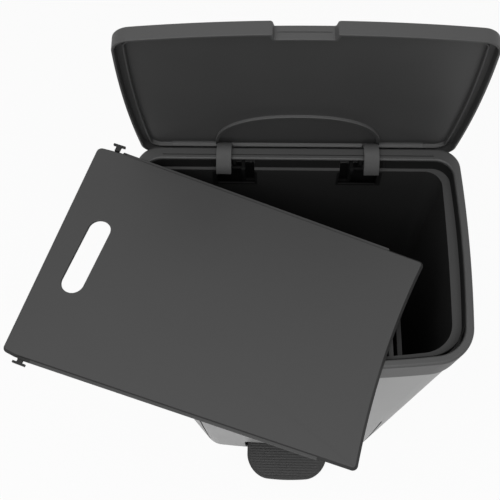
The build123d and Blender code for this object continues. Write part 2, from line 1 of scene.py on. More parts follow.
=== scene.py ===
# %% [markdown]
# # A pedal bin with a loose divider panel
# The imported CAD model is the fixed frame: every piece below is placed in its coordinates,
# in metres, with the floor at z = 0 and the bin's front towards -Y.

# %% Load the frame
import json
import math

import bpy
import numpy as np
from mathutils import Matrix, Vector


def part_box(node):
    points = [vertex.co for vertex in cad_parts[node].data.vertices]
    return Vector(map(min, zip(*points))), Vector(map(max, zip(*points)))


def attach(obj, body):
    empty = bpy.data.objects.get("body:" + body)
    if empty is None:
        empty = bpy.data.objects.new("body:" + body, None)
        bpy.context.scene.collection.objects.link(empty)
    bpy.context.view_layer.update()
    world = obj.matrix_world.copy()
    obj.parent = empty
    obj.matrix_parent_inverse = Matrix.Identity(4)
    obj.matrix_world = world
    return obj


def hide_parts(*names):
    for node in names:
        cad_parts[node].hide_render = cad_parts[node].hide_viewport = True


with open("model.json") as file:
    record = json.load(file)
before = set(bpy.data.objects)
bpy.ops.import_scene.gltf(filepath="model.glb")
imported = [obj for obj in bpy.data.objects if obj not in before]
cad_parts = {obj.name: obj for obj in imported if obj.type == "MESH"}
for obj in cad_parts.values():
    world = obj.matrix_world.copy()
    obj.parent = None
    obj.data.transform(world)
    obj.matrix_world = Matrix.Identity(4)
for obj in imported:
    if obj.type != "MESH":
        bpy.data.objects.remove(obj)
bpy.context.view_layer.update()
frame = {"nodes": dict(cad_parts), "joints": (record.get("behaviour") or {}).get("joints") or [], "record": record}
nodes = frame["nodes"]
joints = {joint["name"]: joint for joint in frame["joints"]}

# %% [markdown]
# ## Camera
# The photograph looks steeply down from the front, a little turned and a little tilted.
# A camera can be aimed with a Track To constraint, but that leaves no control of the tilt.
# Here the three axes are worked out from elevation, yaw and roll and written straight into
# the camera's matrix.

# %% Camera
IMAGE_SIZE = 500.0
SENSOR_MM = 36.0
FOCAL_PIXELS = 821.56
PRINCIPAL_POINT = (245.16, 261.07)
CAMERA_PLACE = np.array([-0.0248, -0.39867, 1.46762])
ELEVATION, YAW, ROLL = (math.radians(v) for v in (65.29, -4.99, -3.78))


def camera_axes(elevation, yaw, roll):
    """Forward from two angles; right, level with the floor, and up are then turned by the roll."""
    ahead = math.cos(elevation)
    forward = np.array([math.sin(yaw) * ahead, math.cos(yaw) * ahead, -math.sin(elevation)])
    level = np.cross(forward, [0.0, 0.0, 1.0])
    level /= np.linalg.norm(level)
    above = np.cross(level, forward)
    right = math.cos(roll) * level + math.sin(roll) * above
    up = -math.sin(roll) * level + math.cos(roll) * above
    return right, up, forward


right, up, forward = camera_axes(ELEVATION, YAW, ROLL)
camera_data = bpy.data.cameras.new("photo_camera")
camera_data.sensor_width = SENSOR_MM
camera_data.lens = FOCAL_PIXELS / IMAGE_SIZE * SENSOR_MM
camera_data.shift_x = 0.5 - PRINCIPAL_POINT[0] / IMAGE_SIZE
camera_data.shift_y = PRINCIPAL_POINT[1] / IMAGE_SIZE - 0.5
camera_data.clip_start, camera_data.clip_end = 0.05, 50.0
camera = bpy.data.objects.new("photo_camera", camera_data)
bpy.context.scene.collection.objects.link(camera)
axes = np.stack([right, up, -forward], axis=1)
camera.matrix_world = Matrix([*np.column_stack([axes, CAMERA_PLACE]).tolist(), [0.0, 0.0, 0.0, 1.0]])
bpy.context.scene.camera = camera
print("camera lens", round(camera_data.lens, 2), "mm")

# %% [markdown]
# ## Studio
# The bin stands on white paper under soft light. More light would make the paper white, but it
# would bleach the plastic too. So the paper is a plain diffuse floor that keeps the bin's shadow,
# and the camera sees most of it, and all of the world above it, as plain white.

# %% Material helpers
WHITE = (1.0, 1.0, 1.0, 1.0)
scene = bpy.context.scene
scene.view_settings.view_transform = "Standard"


def new_material(name):
    """A node material with only its output, ready for a shader."""
    material = bpy.data.materials.new(name)
    material.use_nodes = True
    tree = material.node_tree
    tree.nodes.clear()
    output = tree.nodes.new("ShaderNodeOutputMaterial")
    return material, tree, output


def seen_directly(tree):
    """1 for camera, glossy and transmission rays, 0 for the light that falls on the object."""
    path = tree.nodes.new("ShaderNodeLightPath")
    seen_rays = path.outputs["Is Camera Ray"]
    for ray in ("Is Glossy Ray", "Is Transmission Ray"):
        either = tree.nodes.new("ShaderNodeMath")
        either.operation = "MAXIMUM"
        tree.links.new(seen_rays, either.inputs[0])
        tree.links.new(path.outputs[ray], either.inputs[1])
        seen_rays = either.outputs[0]
    return seen_rays


# %% White paper
PAPER_WHITE_SHARE, PAPER_GREY = 0.93, 0.86
FLOOR_HALF = 6.0


def paper_material():
    """White paper: part diffuse, which holds the shadow, and part plain white to the camera."""
    material, tree, output = new_material("studio_paper")
    diffuse = tree.nodes.new("ShaderNodeBsdfDiffuse")
    diffuse.inputs["Color"].default_value = (PAPER_GREY, PAPER_GREY, PAPER_GREY, 1.0)
    white = tree.nodes.new("ShaderNodeEmission")
    white.inputs["Color"].default_value = WHITE
    share = tree.nodes.new("ShaderNodeMath")
    share.operation = "MULTIPLY"
    share.inputs[1].default_value = PAPER_WHITE_SHARE
    mix = tree.nodes.new("ShaderNodeMixShader")
    tree.links.new(seen_directly(tree), share.inputs[0])
    tree.links.new(share.outputs[0], mix.inputs["Fac"])
    tree.links.new(diffuse.outputs[0], mix.inputs[1])
    tree.links.new(white.outputs[0], mix.inputs[2])
    tree.links.new(mix.outputs[0], output.inputs["Surface"])
    return material


floor_mesh = bpy.data.meshes.new("studio_floor")
floor_corners = [(x * FLOOR_HALF, y * FLOOR_HALF, 0) for x, y in ((-1, -1), (1, -1), (1, 1), (-1, 1))]
floor_mesh.from_pydata(floor_corners, [], [(0, 1, 2, 3)])
floor_mesh.materials.append(paper_material())
studio_floor = bpy.data.objects.new("studio_floor", floor_mesh)
scene.collection.objects.link(studio_floor)
print("paper", 2 * FLOOR_HALF, "m square")

# %% World and lamps
WORLD_STRENGTH = 0.25

world = bpy.data.worlds.new("studio_world")
world.use_nodes = True
scene.world = world
world_tree = world.node_tree
background = world_tree.nodes["Background"]
background.inputs["Color"].default_value = WHITE
background.inputs["Strength"].default_value = WORLD_STRENGTH
seen = world_tree.nodes.new("ShaderNodeBackground")
seen.inputs["Color"].default_value = WHITE
world_mix = world_tree.nodes.new("ShaderNodeMixShader")
world_tree.links.new(seen_directly(world_tree), world_mix.inputs["Fac"])
world_tree.links.new(background.outputs[0], world_mix.inputs[1])
world_tree.links.new(seen.outputs[0], world_mix.inputs[2])
world_tree.links.new(world_mix.outputs[0], world_tree.nodes["World Output"].inputs["Surface"])


def soft_box(name, place, target, size, watts):
    """A square area lamp at a place, turned towards a target."""
    lamp = bpy.data.lights.new(name, "AREA")
    lamp.shape = "SQUARE"
    lamp.size = size
    lamp.energy = watts
    lamp_object = bpy.data.objects.new(name, lamp)
    scene.collection.objects.link(lamp_object)
    lamp_object.location = place
    lamp_object.rotation_euler = (Vector(target) - Vector(place)).to_track_quat("-Z", "Y").to_euler()
    print(name, watts, "W")


soft_box("top_box", place=(-0.2, -0.75, 2.5), target=(0.0, -0.05, 0.5), size=2.0, watts=36.0)
soft_box("front_box", place=(-0.6, -2.6, 1.7), target=(0.0, 0.0, 0.4), size=1.4, watts=10.0)

# %% [markdown]
# ## Finishes
# Everything in sight is moulded plastic: silver for the body, blacks of several depths for the
# rest; the pins and the rod are steel. Brackets and steel are near black as painted shade in the
# hinge pockets. One colour would look like paper, so the plastic has faint clouds in its colour,
# fine grain in its bump, patches of different gloss and edges of another tone: rubbed paler on the
# pedal's tread, paler as a painted highlight on the arms and on the lid's skirt, rib, band and bead,
# and darker as painted shade on the board. The pieces carry that wear and painted light as a point
# attribute; on the CAD nodes, which have none, it reads as zero.
# Small places of another tone, such as a seam, could be painted faces. A box in Object coordinates
# is used, because the CAD meshes are left as they are.

# %% Colour helpers
CLOUD_SCALE, CLOUD_DETAIL, CLOUD_ENDS = 9.0, 5.0, (0.3, 0.7)


def grey(level):
    """A neutral colour."""
    return (level, level, level)


def cloudy_colour(tree, place, colour, mottling):
    """Noise clouds that shift the colour a little either way."""
    cloud = tree.nodes.new("ShaderNodeTexNoise")
    cloud.inputs["Scale"].default_value = CLOUD_SCALE
    cloud.inputs["Detail"].default_value = CLOUD_DETAIL
    tint = tree.nodes.new("ShaderNodeValToRGB")
    for element, position, share in zip(tint.color_ramp.elements, CLOUD_ENDS, (1 - mottling, 1 + mottling)):
        element.position = position
        element.color = (*(channel * share for channel in colour), 1.0)
    tree.links.new(place.outputs["Object"], cloud.inputs["Vector"])
    tree.links.new(cloud.outputs["Fac"], tint.inputs["Fac"])
    return cloud, tint


def worn_and_painted_edges(tree, tint, colour, lift):
    """The colour mixed towards itself times the lift, paler or darker, as far as the point attribute of wear and
    painted light says.
    """
    wear_and_painted_light = tree.nodes.new("ShaderNodeAttribute")
    wear_and_painted_light.attribute_name = "edge_wear_and_painted_light"
    mix = tree.nodes.new("ShaderNodeMix")
    mix.data_type = "RGBA"
    mix.inputs["B"].default_value = (*(min(channel * lift, 1.0) for channel in colour), 1.0)
    tree.links.new(wear_and_painted_light.outputs["Fac"], mix.inputs["Factor"])
    tree.links.new(tint.outputs["Color"], mix.inputs["A"])
    return mix.outputs["Result"]


def boxed_colour(tree, place, base, level, low, high):
    """A grey level inside a box, the base colour outside: three yes-or-no values multiplied."""
    split = tree.nodes.new("ShaderNodeSeparateXYZ")
    tree.links.new(place.outputs["Object"], split.inputs[0])
    mix = tree.nodes.new("ShaderNodeMix")
    mix.data_type = "RGBA"
    mix.inputs["B"].default_value = (*grey(level), 1.0)
    inside = None
    for axis, (near, far) in enumerate(zip(low, high)):
        within = tree.nodes.new("ShaderNodeMath")
        within.operation = "COMPARE"
        within.inputs[1].default_value = (near + far) / 2
        within.inputs[2].default_value = (far - near) / 2
        tree.links.new(split.outputs[axis], within.inputs[0])
        both = tree.nodes.new("ShaderNodeMath")
        both.operation = "MULTIPLY"
        both.inputs[1].default_value = 1.0
        tree.links.new(within.outputs[0], both.inputs[0])
        if inside is not None:
            tree.links.new(inside, both.inputs[1])
        inside = both.outputs[0]
    tree.links.new(inside, mix.inputs["Factor"])
    tree.links.new(base, mix.inputs["A"])
    return mix.outputs["Result"]


# %% Moulded plastic
GLOSS_SPREAD, GRAIN_DETAIL, GRAIN_STRENGTH = 0.06, 2.0, 0.35


def moulded_plastic(name, colour, roughness, grain_size, grain_depth, mottling,
                    lift=1.25, specular=0.3, boxes=()):
    """Clouded colour with worn and painted-light edges and boxed tones, most of them painted shade, uneven gloss
    and a fine grain in the bump.
    """
    material, tree, output = new_material(name)
    shader = tree.nodes.new("ShaderNodeBsdfPrincipled")
    shader.inputs["Specular IOR Level"].default_value = specular
    place = tree.nodes.new("ShaderNodeTexCoord")
    cloud, tint = cloudy_colour(tree, place, colour, mottling)
    gloss = tree.nodes.new("ShaderNodeMapRange")
    gloss.inputs["To Min"].default_value = roughness - GLOSS_SPREAD
    gloss.inputs["To Max"].default_value = roughness + GLOSS_SPREAD
    grain = tree.nodes.new("ShaderNodeTexNoise")
    grain.inputs["Scale"].default_value = 1.0 / grain_size
    grain.inputs["Detail"].default_value = GRAIN_DETAIL
    bump = tree.nodes.new("ShaderNodeBump")
    bump.inputs["Strength"].default_value = GRAIN_STRENGTH
    bump.inputs["Distance"].default_value = grain_depth
    link = tree.links.new
    link(place.outputs["Object"], grain.inputs["Vector"])
    link(cloud.outputs["Fac"], gloss.inputs["Value"])
    colour_socket = worn_and_painted_edges(tree, tint, colour, lift)
    for level, low, high in boxes:
        colour_socket = boxed_colour(tree, place, colour_socket, level, low, high)
    link(colour_socket, shader.inputs["Base Color"])
    link(gloss.outputs["Result"], shader.inputs["Roughness"])
    link(grain.outputs["Fac"], bump.inputs["Height"])
    link(bump.outputs["Normal"], shader.inputs["Normal"])
    link(shader.outputs["BSDF"], output.inputs["Surface"])
    return material


# %% The finishes
# Places of another tone, each a grey level and a box's two corners: painted shade on the inside of
# the back wall behind the hinge pockets, along the seams, in the rim's groove and in the hinge
# pockets; the liner's flange is nearly as pale as the rim, and the board's clips are dark
# Painted shade on the inside of the back wall, behind the hinge pockets
SHADED_INSIDE_BACK = (0.006, (-0.14, 0.08, 0.45), (0.14, 0.1285, 0.62))
# Painted shade along the seam grooves on the body's front corners
SEAM_SHADE = [(0.008, (x - 0.0013, -0.15, 0.0), (x + 0.0013, 0.0, 0.265)) for x in (-0.135, 0.135)]
# Painted shade in the rim's groove
RIM_GROOVE_SHADE = (0.006, (-0.160, 0.1208, 0.630), (0.160, 0.1220, 0.6359))
LINER_FLANGE = (0.056, (-0.19, -0.15, 0.6170), (0.19, 0.15, 0.6180))
# Painted shade on the rim beside the hinge pockets
POCKET_SIDE_SHADE = [(0.008, (x - 0.008, 0.100, 0.600), (x + 0.008, 0.1195, 0.6335))
                for x in (-0.1025, 0.1025)]
# Painted shade on the liner round the hinge pockets
POCKET_SHADE = [(0.005, (x - 0.027, 0.095, 0.585), (x + 0.027, 0.135, 0.613))
           for x in (-0.075, 0.075)]
CLIPS = [(0.010, (x - 0.011, y - 0.011, 0.6355), (x + 0.011, y + 0.011, 0.6400))
         for x, y in ((-0.2127, 0.1283), (-0.2941, -0.1399))]
# Each finish: colour, roughness, size and depth of the grain in metres, and mottling
FINISHES = {
    "silver": moulded_plastic("silver_plastic", grey(0.33), 0.42, 0.0006, 0.0001, 0.03,
                              boxes=[SHADED_INSIDE_BACK, *SEAM_SHADE]),
    "rim_black": moulded_plastic("rim_plastic", grey(0.062), 0.50, 0.0008, 0.0001, 0.05,
                                 boxes=[RIM_GROOVE_SHADE, *POCKET_SIDE_SHADE]),
    "liner_black": moulded_plastic("liner_plastic", grey(0.018), 0.55, 0.0012, 0.0001, 0.06, specular=0.15,
                                   boxes=[LINER_FLANGE, *POCKET_SHADE]),
    "lid_black": moulded_plastic("lid_plastic", grey(0.050), 0.55, 0.0008, 0.0001, 0.05),
    # The arm plastic's lift of 2.7 paints the highlights on the arms and on the lid's rib, band and bead
    "arm_black": moulded_plastic("arm_plastic", grey(0.038), 0.60, 0.0008, 0.0001, 0.05, lift=2.7),
    "pedal_black": moulded_plastic("pedal_plastic", grey(0.030), 0.50, 0.0008, 0.0001, 0.06),
    # The board's lift below 1 darkens its edges as painted shade
    "board_black": moulded_plastic("board_plastic", grey(0.050), 0.60, 0.0008, 0.0001, 0.04, lift=0.3,
                                   boxes=CLIPS),
    # Brackets and steel are near black: painted shade that hides the mechanism in the hinge pockets
    "bracket_black": moulded_plastic("bracket_shade_plastic", grey(0.008), 0.60, 0.0008, 0.0001, 0.05,
                                     specular=0.15),
    "steel": moulded_plastic("steel_shade_black", grey(0.004), 0.70, 0.0006, 0.00005, 0.10, specular=0.06),
}
for part in frame["record"]["subparts"]:
    mesh = nodes[part["node"]].data
    mesh.materials.clear()
    mesh.materials.append(FINISHES[part["material_slot"]])
print("finishes:", ", ".join(FINISHES))

# %% [markdown]
# ## Surfaces on a grid
# The moulded pieces that the eye rests on, such as the board, the lid and the pedal's tread, have
# soft edges that flat CAD faces lack. They could be modelled by hand with bevels. Here each is a
# grid of points worked out with numpy, because the edge radius is then a number in the profile,
# and the grid's neighbours give the faces. Weighted normals keep the large flat faces flat.

# %% Grid helpers


def grid_faces(rows, columns, closed_rows=False, closed_columns=False):
    """Corner numbers of the squares between neighbouring grid points; a closed direction joins up."""
    row = np.arange(rows if closed_rows else rows - 1)
    column = np.arange(columns if closed_columns else columns - 1)
    row, column = (part.ravel() for part in np.meshgrid(row, column, indexing="ij"))
    next_row, next_column = (row + 1) % rows, (column + 1) % columns
    return np.stack([row * columns + column, next_row * columns + column,
                     next_row * columns + next_column, row * columns + next_column], axis=1)


def outward_facing(points, faces):
    """Whether six times the enclosed volume, added up over all squares, is above zero."""
    a, b, c, d = (points[faces[:, corner]] for corner in range(4))
    volume = np.sum(a * np.cross(b, c)) + np.sum(a * np.cross(c, d))
    return volume > 0


SHARP_ANGLE = math.radians(40.0)


def make_piece(name, points, faces, caps, wear_and_painted_light, body, slot):
    """A mesh from points, squares and flat end caps, smooth up to a sharp angle, riding on a body."""
    points = points.reshape(-1, 3)
    middle = points.mean(axis=0)
    if not outward_facing(points - middle, faces):
        faces, caps = faces[:, ::-1], [cap[::-1] for cap in caps]
    mesh = bpy.data.meshes.new(name)
    mesh.from_pydata(points, [], faces.tolist() + [cap.tolist() for cap in caps])
    mesh.polygons.foreach_set("use_smooth", np.arange(len(mesh.polygons)) < len(faces))
    mesh.set_sharp_from_angle(angle=SHARP_ANGLE)
    # The point attribute holds real wear and also painted highlights and painted shade
    edge_wear_and_painted_light = mesh.attributes.new("edge_wear_and_painted_light", "FLOAT", "POINT")
    edge_wear_and_painted_light.data.foreach_set("value", wear_and_painted_light.ravel().astype(np.float32))
    mesh.materials.append(FINISHES[slot])
    mesh.update()
    piece = bpy.data.objects.new(name, mesh)
    scene.collection.objects.link(piece)
    piece.modifiers.new("even_normals", "WEIGHTED_NORMAL").keep_sharp = True
    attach(piece, body)
    print(name, len(mesh.vertices), "points,", len(mesh.polygons), "faces")
    return piece


# %% Loop helpers


def rounded_loop(corners, radii, arc_points=12):
    """Closed loop against the clock: every corner is an arc that leaves both of its sides in line."""
    corners, radii = np.asarray(corners, float), np.asarray(radii, float)[:, None]
    side = np.roll(corners, -1, axis=0) - corners
    normal = np.stack([side[:, 1], -side[:, 0]], axis=1) / np.linalg.norm(side, axis=1)[:, None]
    before = np.roll(normal, 1, axis=0)
    lean = 1 + np.sum(before * normal, axis=1, keepdims=True)
    centre = corners - radii * (before + normal) / lean
    start = np.arctan2(before[:, 1], before[:, 0])
    turn = (np.arctan2(normal[:, 1], normal[:, 0]) - start) % (2 * np.pi)
    angle = start[:, None] + turn[:, None] * np.linspace(0, 1, arc_points)
    arcs = centre[:, None] + radii[:, None] * np.stack([np.cos(angle), np.sin(angle)], axis=-1)
    return arcs.reshape(-1, 2)


def even_steps(loop, step):
    """The same closed loop with points added along it, so that none are farther apart than a step."""
    closed = np.vstack([loop, loop[:1]])
    gone = np.concatenate([[0], np.cumsum(np.linalg.norm(np.diff(closed, axis=0), axis=1))])
    stops = np.union1d(np.round(gone[:-1], 6), np.round(np.arange(0, gone[-1] - step / 2, step), 6))
    return np.stack([np.interp(stops, gone, closed[:, axis]) for axis in (0, 1)], axis=1)


def loop_normals(loop):
    """Outward unit normals: the line between a point's two neighbours, turned by a right angle."""
    along = np.roll(loop, -1, axis=0) - np.roll(loop, 1, axis=0)
    return np.stack([along[:, 1], -along[:, 0]], axis=1) / np.linalg.norm(along, axis=1)[:, None]


def quarter_round(radius, count=5):
    """Quarter circle as two arrays: the run falls from the radius to 0, the rise grows from 0 to it."""
    angle = np.linspace(0, np.pi / 2, count)
    return radius * (1 - np.sin(angle)), radius * (1 - np.cos(angle))


def soft_step(value, low, high):
    """0 below low, 1 above high and an S-shaped ramp between them."""
    share = np.clip((value - low) / (high - low), 0, 1)
    return share * share * (3 - 2 * share)


def round_the_gap(loop, in_gap):
    """Numbers of a closed loop's points from one end of a gap the long way round to its other end."""
    return np.roll(np.arange(len(loop)), -np.flatnonzero(in_gap)[-1] - 1)[:np.count_nonzero(~in_gap)]


# %% Strip helpers


def end_caps(rows, columns):
    """Corner numbers of a grid's first and last row, the last one backwards, to face the other way."""
    ring = np.arange(columns)
    return [ring, (ring + (rows - 1) * columns)[::-1]]


def carried_strip(name, line, normals, section, to_place, wear_and_painted_light, body, slot):
    """Closed section in (inset, height) carried along an open line; inset runs against the normal."""
    rows = line[:, None] - normals[:, None] * section[None, :, :1]
    grid = rows.shape[:2]
    points = to_place(rows[..., 0], rows[..., 1], np.broadcast_to(section[None, :, 1], grid))
    make_piece(name, points, grid_faces(*grid, closed_columns=True), end_caps(*grid),
               np.broadcast_to(wear_and_painted_light, grid), body, slot)


# %% [markdown]
# ## The loose board
# On the real bin this is a thin moulded panel with a hand slot, slanted edges and a lower flange
# along each long edge. A plain extrusion would leave knife edges. The board is a ring instead: a
# profile runs up the slot's wall, across the top, down the slanted edge and back underneath, and
# it is carried round the slot by the angle about the slot's middle.

# %% The board's sizes and place
BOARD_LENGTH, BOARD_THICKNESS = 0.3945, 0.004
BOARD_END_HALF, BOARD_SHOULDER_HALF, BOARD_FAR_HALF = 0.1315, 0.1333, 0.1195
BOARD_SHOULDER, BOARD_SKEW, BOARD_HOLLOW = 0.020, 0.012, 0.0075
BOARD_CORNER, BOARD_SLANT, BOARD_EDGE = 0.004, 0.0022, 0.0007
BOARD_STEP, BOARD_RAYS = 0.006, 300
SLOT_MIDDLE, SLOT_RADIUS, SLOT_STRAIGHT = np.array([0.0413, -0.0022]), 0.013, 0.034
BOARD_PLACE = np.array([-0.2743, 0.0006, 0.6363])
BOARD_TURN = math.radians(-19.56)


def laid_on_rim(along, across, height):
    """Board coordinates turned about the upright axis and moved to the board's place on the rim."""
    x = along * math.cos(BOARD_TURN) - across * math.sin(BOARD_TURN)
    y = along * math.sin(BOARD_TURN) + across * math.cos(BOARD_TURN)
    return np.stack([x, y, np.broadcast_to(height, x.shape)], axis=-1) + BOARD_PLACE


# %% The board's two edges


def reach_to_loop(loop, angles):
    """Distance from the origin to a loop round it, where each ray meets the side that it passes through."""
    order = np.argsort(np.arctan2(loop[:, 1], loop[:, 0]))
    ends = loop[order]
    corner = np.arctan2(ends[:, 1], ends[:, 0])
    after = np.searchsorted(corner, angles) % len(ends)
    first, second = ends[after - 1], ends[after]
    side = second - first
    ray = np.stack([np.cos(angles), np.sin(angles)], axis=1)
    crossing = first[:, 0] * side[:, 1] - first[:, 1] * side[:, 0]
    return crossing / (ray[:, 0] * side[:, 1] - ray[:, 1] * side[:, 0])


def slot_edge(angles):
    """Slot about its middle, flat sides up to the straight's ends and round ends beyond; with normals."""
    ray = np.stack([np.cos(angles), np.sin(angles)], axis=1)
    flat_reach = SLOT_RADIUS / np.maximum(np.abs(ray[:, 0]), 1e-9)
    round_reach = SLOT_STRAIGHT * np.abs(ray[:, 1]) + np.sqrt(
        np.maximum(SLOT_RADIUS ** 2 - (SLOT_STRAIGHT * ray[:, 0]) ** 2, 0))
    on_flat = flat_reach * np.abs(ray[:, 1]) <= SLOT_STRAIGHT
    points = ray * np.where(on_flat, flat_reach, round_reach)[:, None]
    nearest = np.stack([np.zeros(len(ray)), np.clip(points[:, 1], -SLOT_STRAIGHT, SLOT_STRAIGHT)], axis=1)
    return points, (points - nearest) / SLOT_RADIUS


board_corners = [(BOARD_SKEW / 2, -BOARD_END_HALF), (BOARD_SHOULDER, -BOARD_SHOULDER_HALF),
                 (BOARD_LENGTH, -BOARD_FAR_HALF), (BOARD_LENGTH, BOARD_FAR_HALF),
                 (BOARD_SHOULDER, BOARD_SHOULDER_HALF), (-BOARD_SKEW / 2, BOARD_END_HALF)]
board_loop = even_steps(rounded_loop(board_corners, [BOARD_CORNER] * len(board_corners)), BOARD_STEP)
at_far_end = board_loop[:, 0] > BOARD_LENGTH - BOARD_CORNER
hollow = np.clip(1 - (board_loop[:, 1] / BOARD_FAR_HALF) ** 2, 0, 1)
board_loop[:, 0] -= BOARD_HOLLOW * np.where(at_far_end, hollow, 0)
board_loop -= SLOT_MIDDLE
turn = np.union1d(np.arctan2(board_loop[:, 1], board_loop[:, 0]),
                  np.linspace(-np.pi, np.pi, BOARD_RAYS, endpoint=False))
board_edge = reach_to_loop(board_loop, turn)[:, None] * np.stack([np.cos(turn), np.sin(turn)], axis=1)
board_normal = loop_normals(board_edge)
slot_points, slot_normal = slot_edge(turn)
print("board outline", len(board_edge), "points")

# %% The board's plate
# Profile of the ring: up the slot's wall, across the top, down the slanted edge
run, rise = quarter_round(BOARD_EDGE)
slot_in = np.concatenate([run, run[::-1]])
slot_height = np.concatenate([rise, BOARD_THICKNESS - rise[::-1]])
edge_in = np.concatenate([run, run[::-1] - BOARD_SLANT])
edge_height = np.concatenate([BOARD_THICKNESS - rise, rise[::-1]])
slot_rows = slot_points[None] + slot_normal[None] * slot_in[:, None, None]
edge_rows = board_edge[None] - board_normal[None] * edge_in[:, None, None]
rows = np.concatenate([slot_rows, edge_rows])
heights = np.concatenate([slot_height, edge_height])[:, None]
board_points = laid_on_rim(rows[..., 0] + SLOT_MIDDLE[0], rows[..., 1] + SLOT_MIDDLE[1], heights)
# Painted shade: the rounded top edge and the slanted edge are darker than the top
board_edge_shade_rows = np.concatenate([np.zeros_like(slot_in), np.ones_like(edge_in)])
board_edge_shade = np.broadcast_to(board_edge_shade_rows[:, None], rows.shape[:2]).copy()
# The rows that border the flat top and underside stay plain
board_edge_shade[[0, len(slot_in) - 1, len(slot_in), -1]] = 0
board_faces = grid_faces(*rows.shape[:2], closed_rows=True, closed_columns=True)
board_plate = make_piece("board_plate", board_points, board_faces, [], board_edge_shade, "board", "board_black")
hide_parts("divider_panel")

# %% [markdown]
# The flanges are thin strips that stand out of the long edges, lower than the board's top. They
# could be bevelled boxes, but they follow the board's taper. So each is a small rounded section
# carried along the edge's line, drawn in a little at both ends.

# %% The board's flanges
FLANGE_WIDTH, FLANGE_THICKNESS, FLANGE_EDGE = 0.0036, 0.0025, 0.0007
FLANGE_START, FLANGE_STOP = 0.024, 0.3555
FLANGE_ROOT, FLANGE_PINCH = 0.001, 0.7


def flange_strip(name, side):
    """Rounded section in (across, height), carried along the board's edge and pinched at the ends."""
    low, high = -FLANGE_ROOT, FLANGE_WIDTH
    section = rounded_loop([(low, 0), (high, 0), (high, FLANGE_THICKNESS), (low, FLANGE_THICKNESS)],
                           [FLANGE_EDGE] * 4, arc_points=5)
    middle = section.mean(axis=0)
    along = np.array([FLANGE_START, FLANGE_START + FLANGE_EDGE, FLANGE_STOP - FLANGE_EDGE, FLANGE_STOP])
    pinch = np.array([FLANGE_PINCH, 1, 1, FLANGE_PINCH])[:, None, None]
    sections = middle + (section - middle) * pinch
    line = np.interp(along, [BOARD_SHOULDER, BOARD_LENGTH], [BOARD_SHOULDER_HALF, BOARD_FAR_HALF])
    across = side * (line[:, None] + sections[..., 0])
    points = laid_on_rim(np.broadcast_to(along[:, None], across.shape), across, sections[..., 1])
    faces = grid_faces(*across.shape, closed_columns=True)
    make_piece(name, points, faces, end_caps(*across.shape), np.zeros(across.shape), "board", "board_black")


for flange_name, flange_side in (("board_flange_rear", 1), ("board_flange_front", -1)):
    flange_strip(flange_name, flange_side)

# %% [markdown]
# ## The lid
# The lid is a shallow tray with a soft outer edge, a skirt and a finger notch, and it stands open.
# It could be a box with bevels. Here its outline is a loop of arcs, bowed at the sides and the
# front, and the tray's section is carried round that loop in the shut position. The flat fields on
# both faces are the same loop shrunk towards the middle, so that no row folds over at a corner. The
# whole grid is then swung open about the hinge.

# %% Lid outline
HINGE_Y, HINGE_Z = joints["lid_hinge"]["pos_m"][1:]
LID_OPEN = math.radians(joints["lid_hinge"]["range_deg"][1])
RIM_Z = round(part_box("top_collar")[1].z, 4)
LID_HALF_BACK, LID_HALF_FRONT, LID_BACK, LID_FRONT = 0.186, 0.1807, 0.1345, -0.1253
LID_BOW, LID_BULGE = 0.0137, 0.005
LID_CORNER_BACK, LID_CORNER_FRONT = 0.023, 0.017
LID_STEP, LID_ARC_POINTS = 0.0015, 24


def bowed(loop, back, front, half_width):
    """Front pushed out as a parabola across, which fades to the back; sides as a parabola along."""
    x, y = loop.T
    forward = (back - y) / (back - front)
    front_push = LID_BOW * forward * (1 - (x / half_width) ** 2)
    side_push = LID_BULGE * 4 * forward * (1 - forward) * x / half_width
    return np.stack([x + side_push, y - front_push], axis=1)


def swung_open(x, y, z):
    """Points of the shut lid turned about the hinge axis into the open pose."""
    dy, dz = y - HINGE_Y, z + RIM_Z - HINGE_Z
    turned_y = HINGE_Y + dy * math.cos(LID_OPEN) + dz * math.sin(LID_OPEN)
    turned_z = HINGE_Z - dy * math.sin(LID_OPEN) + dz * math.cos(LID_OPEN)
    return np.stack([x, turned_y, turned_z], axis=-1)


lid_corners = [(LID_HALF_BACK, LID_BACK), (-LID_HALF_BACK, LID_BACK),
               (-LID_HALF_FRONT, LID_FRONT), (LID_HALF_FRONT, LID_FRONT)]
lid_radii = [LID_CORNER_BACK, LID_CORNER_BACK, LID_CORNER_FRONT, LID_CORNER_FRONT]
lid_arcs = rounded_loop(lid_corners, lid_radii, arc_points=LID_ARC_POINTS)
lid_loop = bowed(even_steps(lid_arcs, LID_STEP), LID_BACK, LID_FRONT, LID_HALF_FRONT)
lid_normal = loop_normals(lid_loop)
print("lid outline", len(lid_loop), "points, hinge at", HINGE_Y, HINGE_Z, "rim at", RIM_Z)

# %% Lid section
LID_LOW, LID_TOP, LID_UNDER = 0.0004, 0.0159, 0.0108
LID_WALL, LID_EDGE, LID_FOOT, LID_INNER = 0.0025, 0.002, 0.0006, 0.001
NOTCH_GROOVE, NOTCH_GROOVE_HEIGHT, NOTCH_GROOVE_HALF = 0.0008, 0.0012, 0.026
NOTCH_GROOVE_SHARES = (-0.6, -0.4, 0.4, 0.6)

